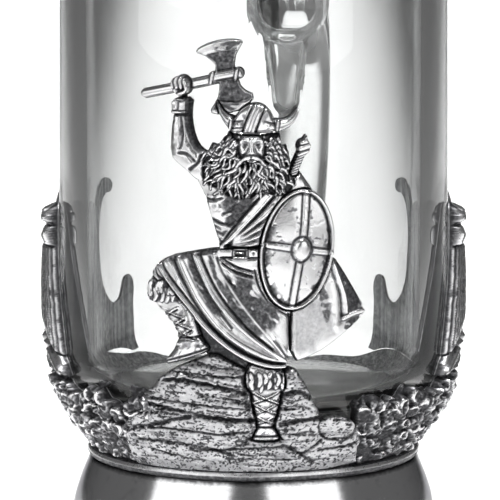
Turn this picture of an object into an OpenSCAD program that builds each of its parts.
// Lidded glass tankard in a cast pewter mount: a warrior on rocks in front,
// a longship on each side, a polished foot below and a hinged lid above.
// Units are millimetres, +Z is up and the origin is the centre of the foot on the floor.
// The handle points along +Y; the mount is set a little out of line with it.

/* [Glass] */
// Outside diameter of the glass wall
glass_d = 88; // [80:0.5:92]
// Height of the glass rim above the floor
rim_z = 150; // [140:1:170]
// Height of the underside of the glass
base_z = 28.5; // [28:0.5:30]
// Height of the inside floor of the glass
inner_floor_z = 42; // [40:1:46]
// Thickness of the glass wall
wall_t = 6.2; // [5:0.1:7]

/* [Handle] */
// Height of the upper handle leg
leg_z = 124; // [120:1:126]
// Reach of the handle's centre line from the glass axis
handle_reach = 78; // [74:1:82]
// Width of the handle section
handle_w = 15; // [13:0.5:17]
// Thickness of the handle section
handle_t = 12; // [10:0.5:13]

/* [Mount] */
// Turn of the pewter mount about the glass axis, in degrees
mount_turn = 11; // [0:1:15]
// Height of the top of the foot
foot_z = 26; // [24:0.5:26]
// Outside radius of the foot's rim
foot_rim_r = 48.5; // [46:0.5:52]
// Radius of the foot where it meets the ledge
waist_r = 36.9; // [36:0.1:37.5]

/* [Lid] */
// Radius of the lid's flange
lid_r = 45.6; // [44.5:0.1:47]
// Height of the lid's dome above its flange
dome_h = 15; // [12:0.5:20]
// Radius of the hinge pin
pin_r = 1.5; // [1.2:0.1:2]

/* [Hidden] */
$fn = 64;

glass_r = glass_d / 2;
inner_r = glass_r - wall_t - 0.2;   // inside radius of the straight part
bulge_r = 35;                       // outside radius of the glass at its underside
bulge_z = 50;                       // height where the wall becomes straight
rim_r = glass_r - 0.8;              // outside radius of the glass at the rim
cup_t = 1;                          // wall of the cup under the bulge
cup_top_z = 36;                     // top edge of the cup
cup_floor_t = 1.4;                  // floor of the cup
figure_lift = 1.2;                  // how far the figure and its rocks stand above their drawn heights
fit_gap = 0.1;                      // gap between pewter and glass
shell_steps = [32, 36, 40, 44, 50, 60, 70, 80]; // heights where a casting's section may bend

// radial height of each kind of casting above the glass
bramble_t = 2.6;
rock_t = 3.4;
body_t = 3.6;
shield_t = 3.6;
shield_belly = 0.9;
cloak_t = 2.8;
weapon_t = 2.4;
ship_t = 3;
sail_t = 2.9;
sail_belly = 1.6;
wave_t = 2.2;

hinge_y = 52.6;
hinge_z = rim_z + 2.4;
knuckle_r = 3.4;
knuckle_w = 9;                      // width of the middle knuckle
ear_w = 4.8;                        // width of each outer knuckle
run_gap = 0.2;                      // side play between knuckles
pin_play = 0.05;                    // radial play of the pin in the middle knuckle
lid_z = rim_z + 0.2;                // underside of the lid's flange
lid_t = 2.2;                        // thickness of the flange
skirt_r = inner_r - 0.7;            // outside radius of the lid's locating ring
dome_r = 39;
boss_z = 168.6;                     // top of the seat under the finial
strap_y = 52.6;                     // middle of the strap round the handle
strap_w = 6;
strap_t = 2;

function lerp(a, b, t) = a + (b - a) * t;

// outside radius of the glass at height z
function outer_r(z) =
  z < bulge_z
    ? lerp(bulge_r, glass_r, sin(90 * (z - base_z) / (bulge_z - base_z)))
    : lerp(glass_r, rim_r, (z - bulge_z) / (rim_z - bulge_z));

// heights of a section's corners between z0 and z1
function levels(z0, z1) = concat([z0], [for (z = shell_steps) if (z > z0 && z < z1) z], [z1]);

function reversed(list) = [for (i = [len(list) - 1 : -1 : 0]) list[i]];

// inner line of a casting: it steps over the cup, then lies close to the glass
function inner_line(z0, z1) = concat(
  z0 < cup_top_z ? [for (z = levels(z0, min(z1, cup_top_z))) [outer_r(z) + cup_t, z]] : [],
  z1 > cup_top_z ? [for (z = levels(max(z0, cup_top_z), z1)) [outer_r(z) + fit_gap, z]] : []
);

// outer line of a casting that stands t proud of the glass, and t + belly half way up
function outer_line(z0, z1, t, belly) = [for (z = levels(z0, z1))
  [outer_r(z) + t + belly * sin(180 * (z - z0) / (z1 - z0)), z]];

// shell between the glass and a surface t proud of it, from height z0 to z1
module shell(z0, z1, t, belly = 0) {
  rotate_extrude($fn = 128)
    polygon(concat(inner_line(z0, z1), reversed(outer_line(z0, z1, t, belly))));
}

// one clean outline from several that overlap
module merged() {
  offset(delta = 0.01) children();
}

// flat limb between two round ends, each end a half circle of nine corners
module limb(a, b, ra, rb) {
  heading = atan2(b[1] - a[1], b[0] - a[0]);
  steps = 8;
  polygon(concat(
    [for (i = [0 : steps]) let (t = heading - 90 + 180 * i / steps) b + rb * [cos(t), sin(t)]],
    [for (i = [0 : steps]) let (t = heading + 90 + 180 * i / steps) a + ra * [cos(t), sin(t)]]
  ));
}

// shell under a front outline drawn in X and Z
module front_casting(z0, z1, t, belly = 0) {
  rotate([0, 0, mount_turn])
    intersection() {
      shell(z0, z1, t, belly);
      rotate([90, 0, 0]) linear_extrude(height = 60) translate([0, figure_lift]) children();
    }
}

// shell under a side outline drawn in Y and Z; side is -1 for left and 1 for right
module side_casting(side, z0, z1, t, belly = 0) {
  rotate([0, 0, mount_turn])
    mirror([side < 0 ? 1 : 0, 0, 0])
      intersection() {
        shell(z0, z1, t, belly);
        rotate([90, 0, 90]) linear_extrude(height = 60) children();
      }
}

// ---------- glass ----------

module glass_solid() {
  steps = concat([base_z, 30], shell_steps, [100, rim_z - 2]);
  rotate_extrude($fn = 128) {
    polygon(concat([[0, base_z]], [for (z = steps) [outer_r(z), z]], [[0, rim_z - 2]]));
    square([rim_r - 2, rim_z]);
  }
}

module glass_body() {
  round_r = 8;                      // corner between the inside floor and the wall
  lip_r = (rim_r - inner_r) / 2;
  steps = concat([base_z, 30], shell_steps, [100, rim_z - lip_r]);
  color([0.85, 0.88, 0.88, 0.35])
    rotate_extrude($fn = 128)
      difference() {
        union() {
          polygon(concat([[0, base_z]], [for (z = steps) [outer_r(z), z]], [[0, rim_z - lip_r]]));
          translate([rim_r - lip_r, rim_z - lip_r]) circle(r = lip_r);
        }
        translate([0, inner_floor_z]) square([inner_r - round_r, 200]);
        translate([0, inner_floor_z + round_r]) square([inner_r, rim_z - lip_r - inner_floor_z - round_r]);
        translate([inner_r - round_r, inner_floor_z + round_r]) circle(r = round_r);
      }
}

// section of the handle, x along its width: a flat bar with round corners
module handle_section(extra = 0) {
  corner_r = 5;
  steps = 6;
  polygon([
    for (corner = [[1, 1, 0], [-1, 1, 90], [-1, -1, 180], [1, -1, 270]], i = [0 : steps])
      let (t = corner[2] + 90 * i / steps)
        [corner[0] * (handle_w / 2 - corner_r), corner[1] * (handle_t / 2 - corner_r)]
        + (corner_r + extra) * [cos(t), sin(t)]
  ]);
}

// arc of the handle in the plane X = 0, from angle a0 to a1 seen from +X
module handle_arc(cy, cz, r, a0, a1) {
  translate([0, cy, cz])
    rotate([90, 0, 90]) rotate([0, 0, a0])
      rotate_extrude(angle = a1 - a0, $fn = 96)
        translate([r, 0]) rotate(90) handle_section();
}

// keyhole outline: a round pad with a blunt tail below it
module drop_outline(r, tail) {
  steps = 24;
  shoulder = 54;                    // how far below the middle the tail leaves the pad, in degrees
  tip_r = 2.8;
  polygon(concat(
    [for (i = [0 : steps]) let (t = -shoulder + (180 + 2 * shoulder) * i / steps) r * [cos(t), sin(t)]],
    [for (i = [0 : 6]) let (t = 180 + 180 * i / 6) [0, tip_r - tail] + tip_r * [cos(t), sin(t)]]
  ));
}

module glass_handle() {
  top_r = 20;                       // centre-line radius of the top bend
  back_r = 48;                      // centre-line radius of the long back
  sweep = 60;                       // turn of the long back in degrees
  bend_z = leg_z - top_r;
  top_y = handle_reach - top_r;
  back_y = handle_reach - back_r;
  low_y = back_y + back_r * cos(sweep);
  low_z = bend_z - back_r * sin(sweep);
  color([0.85, 0.88, 0.88, 0.35])
    difference() {
      union() {
        translate([0, 30, leg_z]) rotate([-90, 0, 0]) linear_extrude(height = top_y - 30) handle_section();
        handle_arc(top_y, bend_z, top_r, 0, 90);
        handle_arc(back_y, bend_z, back_r, -sweep, 0);
        translate([0, low_y, low_z]) rotate([180 - sweep, 0, 0])
          linear_extrude(height = 24) handle_section();
        translate([0, 46, leg_z]) rotate([90, 0, 0]) linear_extrude(height = 12) drop_outline(9, 25.4);
      }
      glass_solid();
    }
}

// ---------- foot and cup ----------

module bedding() {
  color("gainsboro")
    translate([0, 0, foot_z + cup_floor_t])
      cylinder(r = bulge_r - 0.6, h = base_z - foot_z - cup_floor_t, $fn = 96);
}

module cup() {
  top = [for (z = levels(base_z, cup_top_z)) [outer_r(z) + cup_t, z]];
  inside = [for (z = levels(base_z, cup_top_z)) [outer_r(z) + fit_gap, z]];
  floor_in_z = foot_z + cup_floor_t;
  color([0.45, 0.45, 0.47])
    rotate_extrude($fn = 128)
      polygon(concat(
        [[0, foot_z], [bulge_r + cup_t, foot_z]],
        top,
        reversed(inside),
        [[bulge_r + fit_gap, floor_in_z], [0, floor_in_z]]
      ));
}

module foot_bead() {
  bead_r = 1.25;
  color([0.8, 0.8, 0.82])
    rotate_extrude($fn = 128)
      difference() {
        union() {
          translate([waist_r - 0.55, foot_z + bead_r]) circle(r = bead_r, $fn = 32);
          translate([bulge_r + cup_t - 1, foot_z]) square([1.35, 2 * bead_r]);
        }
        square([bulge_r + cup_t, 40]);
      }
}

module foot() {
  bell_r = 4.3;                     // growth of the radius down the bell
  bell_low_z = 10.5;
  lip_r = 1.7;                      // radius of the rolled rim
  foot_t = 2;
  deck_t = 1.6;
  steps = 8;
  low_r = waist_r + bell_r;
  flare_r = foot_rim_r - lip_r - low_r;
  flare_h = bell_low_z - 2 * lip_r;
  bell = [for (i = [0 : steps]) let (t = i / steps)
    [waist_r + bell_r * sin(90 * t), foot_z - (foot_z - bell_low_z) * t]];
  flare = [for (i = [1 : steps]) let (a = 90 * i / steps)
    [low_r + flare_r * (1 - cos(a)), bell_low_z - flare_h * sin(a)]];
  line = concat(bell, flare);
  lip = [for (i = [1 : steps]) let (t = 90 - 180 * i / steps)
    [foot_rim_r - lip_r, lip_r] + lip_r * [cos(t), sin(t)]];
  inside = [for (p = line) if (p[1] < foot_z - deck_t) [p[0] - foot_t, p[1]]];
  color([0.78, 0.78, 0.8])
    rotate_extrude($fn = 128)
      polygon(concat(
        [[0, foot_z]], line, lip,
        [[foot_rim_r - lip_r - foot_t, 0]],
        reversed(inside),
        [[inside[0][0], foot_z - deck_t], [0, foot_z - deck_t]]
      ));
}

// ---------- warrior, in the plane of X and Z ----------

module axe_outline() {
  merged() {
    limb([-24.4, 110.6], [-3, 115.6], 0.9, 1.4);
    limb([-9, 114.6], [-3.4, 115.8], 1.3, 1.3);
    polygon([[-8.5, 115.5], [-8.6, 117.6], [-9.6, 118.4], [-13, 119.7], [-12, 121], [-9.3, 122.4],
      [-6.2, 123], [-2.1, 122.6], [-3.1, 121], [-4.1, 119], [-4.1, 115.5]]);
    polygon([[-7.2, 115], [-7.2, 111.4], [-6.4, 109.4], [-4.3, 107.1],
      [-1.6, 108], [0.7, 110.9], [-2.6, 112.3], [-3.6, 115]]);
  }
}

module helmet_outline() {
  limb([-1, 103.6], [1.4, 105.8], 3.4, 3.2);
  polygon([[-5.1, 102.6], [5.2, 102.6], [4.4, 106], [2.4, 109], [0.8, 109.4], [-4.3, 106]]);
  limb([-5, 104.2], [-7.6, 107.4], 1.3, 0.8);
  limb([-7.6, 107.4], [-8.1, 109.6], 0.8, 0.4);
  limb([4.8, 104.2], [8.2, 105.6], 1.3, 0.9);
  limb([8.2, 105.6], [9.7, 108.2], 0.9, 0.4);
}

module head_outline() {
  limb([-0.6, 100], [-0.4, 93.6], 5.4, 4.2);
  limb([-5.6, 97.6], [-6.8, 94], 4.2, 3.4);
  limb([4.6, 98], [5.4, 93], 3.8, 3.4);
}

module fist_outline() {
  limb([-16, 112.6], [-14.6, 113.4], 2.2, 2.2);
}

module arms_outline() {
  limb([-15.8, 110], [-15.6, 102], 2.2, 2.6);
  limb([-15.6, 102], [-15.2, 97.4], 2.6, 2.6);
  limb([-15.2, 97], [-8, 93], 3, 3.8);
  limb([8.6, 92], [12, 84], 3.4, 3.2);
}

module torso_outline() {
  polygon([[-11, 94], [-10.8, 89.7], [-9.7, 86.6], [-8.7, 82.1], [-7.5, 79], [-6.3, 77.6],
    [7, 77.6], [11, 86], [11, 95], [0, 97]]);
}

module kilt_outline() {
  polygon([[-7.6, 78], [-19.4, 75], [-20.6, 72.6], [-19.2, 70.6], [-13.8, 65.1], [-10.7, 59.7],
    [-5.2, 55.3], [-0.3, 52.2], [5.2, 51.1], [8, 51.8], [8.4, 78]]);
}

module shield_outline() {
  // round shield turned three quarters away, leaning eight degrees
  half_w = 8.2;
  half_h = 13.4;
  steps = 32;
  translate([9.3, 77.5]) rotate(-8)
    polygon([for (i = [0 : steps - 1]) let (t = 360 * i / steps) [half_w * cos(t), half_h * sin(t)]]);
}

module cloak_outline() {
  polygon([[13, 77], [17.3, 76.4], [20.8, 70.7], [24.9, 62.9], [20.5, 59.2],
    [14.2, 54.6], [8.2, 52.6], [7.8, 64], [10, 70]]);
}

module sword_outline() {
  translate([10.8, 99.6]) circle(r = 1.9, $fn = 24);
  limb([10.8, 99.6], [8.7, 94.6], 1, 1.2);
}

module bent_leg_outline() {
  limb([-19.4, 70.6], [-19.2, 66.6], 2.6, 2.6);
  limb([-18.6, 66], [-14.4, 58.6], 2.6, 2.2);
  limb([-14.4, 58.6], [-16.8, 54.4], 2.6, 2.4);
  limb([-16.8, 54.4], [-12, 57], 2.4, 2);
}

module standing_leg_outline() {
  limb([2.4, 52.4], [2.2, 48.6], 3.8, 3.8);
  limb([2.4, 48.6], [2.6, 38], 3, 2);
  limb([2.6, 38], [2.8, 35.4], 2.4, 2.8);
}

module rock_outline() {
  polygon([[-29, base_z], [-29, 31], [-28.4, 37.5], [-24.7, 41.7], [-23.9, 45.1], [-19.9, 49.4],
    [-16, 51.4], [-8.4, 54.7], [-2, 50.4], [9, 51.6], [10.9, 48.7], [14.8, 42], [21, 39.7],
    [23.4, 36], [22.2, 31.8], [22.4, base_z]]);
}

module torso_and_head_outline() {
  head_outline();
  fist_outline();
  arms_outline();
  torso_outline();
}

module rock_outcrop() {
  color([0.5, 0.5, 0.52])
    front_casting(base_z, 58, rock_t)
      difference() {
        rock_outline();
        bent_leg_outline();
        standing_leg_outline();
        kilt_outline();
        cloak_outline();
      }
}

module warrior_torso() {
  color([0.66, 0.66, 0.68])
    difference() {
      front_casting(76, 118, body_t)
        difference() {
          torso_and_head_outline();
          helmet_outline();
          kilt_outline();
          shield_outline();
          sword_outline();
          cloak_outline();
        }
      // the fist closes round the haft
      front_casting(104, 126, weapon_t) axe_outline();
    }
}

module warrior_leg_bent() {
  color([0.62, 0.62, 0.64])
    front_casting(50, 78, body_t)
      difference() {
        bent_leg_outline();
        kilt_outline();
      }
}

module warrior_leg_standing() {
  color([0.62, 0.62, 0.64])
    front_casting(31, 58, body_t)
      difference() {
        standing_leg_outline();
        kilt_outline();
      }
}

module warrior_kilt() {
  color([0.56, 0.56, 0.58])
    front_casting(50, 81, body_t)
      difference() {
        kilt_outline();
        shield_outline();
        cloak_outline();
      }
}

module warrior_helmet() {
  color([0.74, 0.74, 0.76])
    front_casting(100, 114, body_t) helmet_outline();
}

module war_axe() {
  color([0.4, 0.4, 0.42])
    front_casting(104, 126, weapon_t)
      difference() {
        axe_outline();
        helmet_outline();
      }
}

module shield() {
  color([0.7, 0.7, 0.72])
    front_casting(63, 94, shield_t, shield_belly) shield_outline();
}

module sword_hilt() {
  color([0.74, 0.74, 0.76])
    front_casting(92, 105, weapon_t)
      difference() {
        sword_outline();
        shield_outline();
      }
}

module cloak() {
  color([0.52, 0.52, 0.54])
    front_casting(50, 93, cloak_t)
      difference() {
        cloak_outline();
        shield_outline();
        sword_outline();
      }
}

// ---------- border, ships and waves ----------

// upper edge of the bramble border at X distance x from the middle
function bramble_top(x) = 44.6 + 1.6 * sin(36 * (x - 22));

module brambles(side) {
  x_in = 22;
  x_out = 47;
  steps = 20;
  edge = [for (i = [0 : steps]) let (x = lerp(x_in, x_out, i / steps)) [x, bramble_top(x)]];
  front_casting(base_z, 47, bramble_t)
    difference() {
      mirror([side < 0 ? 1 : 0, 0]) polygon(concat([[x_in, base_z]], edge, [[x_out, base_z]]));
      rock_outline();
    }
}

module bramble_left() {
  color([0.58, 0.58, 0.6]) brambles(-1);
}

module bramble_right() {
  color([0.58, 0.58, 0.6]) brambles(1);
}

// top of the waves at X distance x from the middle: low behind, rising under the ships
function wave_top(x) = 37 + 7 * pow(sin(90 * min(abs(x) / 42, 1)), 6) + abs(sin(22.5 * x));

// the band runs round the back, behind the plane of the glass axis
module waves() {
  steps = 48;
  half = 50;
  crest = [for (i = [0 : steps]) let (x = lerp(-half, half, i / steps)) [x, wave_top(x)]];
  rotate([0, 0, mount_turn])
    intersection() {
      shell(base_z, 46, wave_t);
      translate([0, 60, 0]) rotate([90, 0, 0])
        linear_extrude(height = 59.9) polygon(concat([[-half, base_z]], crest, [[half, base_z]]));
    }
}

module wave_band() {
  color([0.55, 0.55, 0.57]) waves();
}

// side view of the hull: sheer line, curled prow and small stern head, drawn in Y and Z
module ship_outline() {
  merged() {
    polygon([[-19, 44], [-19, 46], [-16.6, 50], [-9, 52.6], [2, 55], [8, 58], [9.6, 64], [9.6, 72],
      [13.6, 72], [15.4, 63.6], [20, 58.4], [24, 56.4], [27, 56.6], [31.8, 57], [31.8, 41], [1, 41], [1, 44]]);
    limb([11.7, 71], [12.8, 79], 2.1, 2.1);
    limb([12.8, 79], [17.4, 84.6], 2.1, 1.8);
    limb([17.4, 84.6], [21.8, 84], 1.8, 1.5);
    limb([29, 56], [30, 61], 1.8, 1.8);
  }
}

module sail_outline() {
  polygon([[-16.6, 48.4], [-12.4, 58], [-6.4, 69], [-1, 80.2], [2, 83], [6, 82], [11, 80.6],
    [12.4, 69], [11.4, 59], [2, 55], [-9, 52.4]]);
}

module longship(side) {
  color([0.6, 0.6, 0.62])
    difference() {
      side_casting(side, 40, 88, ship_t) ship_outline();
      waves();
      brambles(side);
    }
}

module longship_left() {
  longship(-1);
}

module longship_right() {
  longship(1);
}

module sail(side) {
  color([0.68, 0.68, 0.7])
    side_casting(side, 46, 85, sail_t, sail_belly)
      difference() {
        sail_outline();
        ship_outline();
      }
}

module sail_left() {
  sail(-1);
}

module sail_right() {
  sail(1);
}

// ---------- hinge ----------

module across(width) {
  translate([-width / 2, 0, 0]) rotate([90, 0, 90]) linear_extrude(height = width) children();
}

module hinge_strap() {
  post_t = 4.2;                     // thickness of the riser, front to back
  half_w = knuckle_w / 2 + run_gap + ear_w;
  slot_w = knuckle_w + 2 * run_gap;
  band_top_z = leg_z + handle_t / 2 + fit_gap + strap_t;
  color([0.6, 0.6, 0.62])
    difference() {
      union() {
        translate([0, strap_y + strap_w / 2, leg_z]) rotate([90, 0, 0])
          linear_extrude(height = strap_w) handle_section(fit_gap + strap_t);
        intersection() {
          across(2 * half_w)
            union() {
              translate([strap_y - post_t / 2, band_top_z - 1]) square([post_t, hinge_z - band_top_z + 1]);
              translate([hinge_y, hinge_z]) circle(r = knuckle_r, $fn = 48);
            }
          translate([0, 90, 0]) rotate([90, 0, 0])
            linear_extrude(height = 90)
              polygon([[-8, band_top_z - 1], [8, band_top_z - 1], [5, band_top_z + 7],
                [half_w, hinge_z - 4.6], [half_w, hinge_z + 5], [-half_w, hinge_z + 5],
                [-half_w, hinge_z - 4.6], [-5, band_top_z + 7]]);
        }
      }
      translate([0, strap_y + 10, leg_z]) rotate([90, 0, 0])
        linear_extrude(height = 20) handle_section(fit_gap);
      translate([-slot_w / 2, hinge_y - 8, hinge_z - knuckle_r - 0.4]) cube([slot_w, 16, 12]);
      translate([-20, hinge_y, hinge_z]) rotate([0, 90, 0]) cylinder(r = pin_r, h = 40, $fn = 48);
    }
}

module hinge_pin() {
  head_r = 2.3;
  head_t = 1;
  half_w = knuckle_w / 2 + run_gap + ear_w;
  color([0.7, 0.7, 0.72])
    translate([0, hinge_y, hinge_z]) rotate([0, 90, 0]) {
      cylinder(r = pin_r, h = 2 * half_w + 2 * head_t, center = true, $fn = 48);
      for (end = [-1, 1])
        translate([0, 0, end * (half_w + head_t / 2)])
          cylinder(r = head_r, h = head_t, center = true, $fn = 48);
    }
}

module hinge_arm() {
  arm_h = 3.4;
  low_z = lid_z + 0.2;
  color([0.6, 0.6, 0.62])
    difference() {
      across(knuckle_w)
        union() {
          translate([hinge_y, hinge_z]) circle(r = knuckle_r, $fn = 48);
          translate([40, low_z]) square([hinge_y - 40, arm_h]);
        }
      translate([0, 0, rim_z - 10]) cylinder(r = lid_r, h = 40, $fn = 128);
      translate([-20, hinge_y, hinge_z]) rotate([0, 90, 0])
        cylinder(r = pin_r + pin_play, h = 40, $fn = 48);
    }
}

module thumb_lever() {
  foot_y = 47.3;
  base = lid_z + 3.6;               // top of the hinge arm
  color([0.66, 0.66, 0.68])
    difference() {
      union() {
        across(8)
          union() {
            limb([foot_y, base], [foot_y + 1.4, base + 5], 1.7, 1.7);
            limb([foot_y + 1.4, base + 5], [foot_y + 5.6, base + 14], 1.7, 1.5);
            limb([foot_y + 5.6, base + 14], [foot_y + 7, base + 21], 1.5, 1.4);
          }
        across(15) translate([foot_y + 7.8, base + 22.4]) circle(r = 2.6, $fn = 32);
      }
      translate([-20, 30, base - 10]) cube([40, 40, 10]);
      translate([0, 0, rim_z - 10]) cylinder(r = lid_r - 0.01, h = 40, $fn = 128);
    }
}

// ---------- lid ----------

module lid() {
  shell_t = 1.8;
  top_z = lid_z + lid_t + 0.8;      // foot of the dome
  skirt_h = 2.3;
  skirt_t = 1.6;
  steps = 12;
  void_r = skirt_r - skirt_t;
  outer = [for (i = [0 : steps - 1]) let (a = 90 * i / steps) [dome_r * cos(a), top_z + dome_h * sin(a)]];
  inner = [for (i = [0 : steps - 1]) let (a = 90 * i / steps)
    [void_r * cos(a), top_z + (dome_h - shell_t) * sin(a)]];
  color([0.72, 0.72, 0.74])
    difference() {
      rotate_extrude($fn = 128) {
        polygon(concat(
          [[skirt_r, lid_z - skirt_h], [skirt_r, lid_z], [lid_r, lid_z], [lid_r, lid_z + lid_t],
           [lid_r - 1, top_z - 0.2], [dome_r + 1.5, top_z]],
          outer, [[0, top_z + dome_h], [0, top_z + dome_h - shell_t]],
          reversed(inner), [[void_r, lid_z - skirt_h]]
        ));
        translate([0, top_z + dome_h - shell_t - 0.4]) square([5.4, boss_z - top_z - dome_h + shell_t + 0.4]);
      }
      cylinder(r = pin_r, h = 300, $fn = 48);
    }
}

module lid_finial() {
  shank_r = pin_r - 0.02;
  head_r = 2.3;
  washer_low_z = lid_z + lid_t + 0.8 + dome_h - 1.8 - 0.4 - 1.2;
  color([0.72, 0.72, 0.74])
    rotate_extrude($fn = 64) {
      square_from(washer_low_z - 1, washer_low_z, head_r);
      square_from(washer_low_z - 1, boss_z + 1, shank_r);
      polygon([[0, boss_z], [5, boss_z], [5, boss_z + 1], [3.4, boss_z + 2], [2.2, boss_z + 4],
        [2.2, boss_z + 5], [0, boss_z + 5]]);
      intersection() {
        translate([0, boss_z + 9]) circle(r = 5, $fn = 48);
        translate([0, boss_z]) square([10, 30]);
      }
      polygon([[0, boss_z + 12], [2, boss_z + 12], [1.1, boss_z + 15], [0.7, boss_z + 16], [0, boss_z + 16]]);
    }
}

// rectangle of the profile from the axis out to r
module square_from(z0, z1, r) {
  translate([0, z0]) square([r, z1 - z0]);
}

module finial_washer() {
  under_z = lid_z + lid_t + 0.8 + dome_h - 1.8 - 0.4;
  color([0.5, 0.5, 0.52])
    translate([0, 0, under_z - 1.2])
      difference() {
        cylinder(r = 3.6, h = 1.2, $fn = 48);
        translate([0, 0, -1]) cylinder(r = pin_r, h = 4, $fn = 48);
      }
}

glass_body();
glass_handle();
bedding();
cup();
foot();
foot_bead();
rock_outcrop();
warrior_torso();
warrior_leg_bent();
warrior_leg_standing();
warrior_kilt();
warrior_helmet();
war_axe();
shield();
sword_hilt();
cloak();
bramble_left();
bramble_right();
wave_band();
longship_left();
longship_right();
sail_left();
sail_right();
hinge_strap();
hinge_pin();
lid();
hinge_arm();
thumb_lever();
lid_finial();
finial_washer();
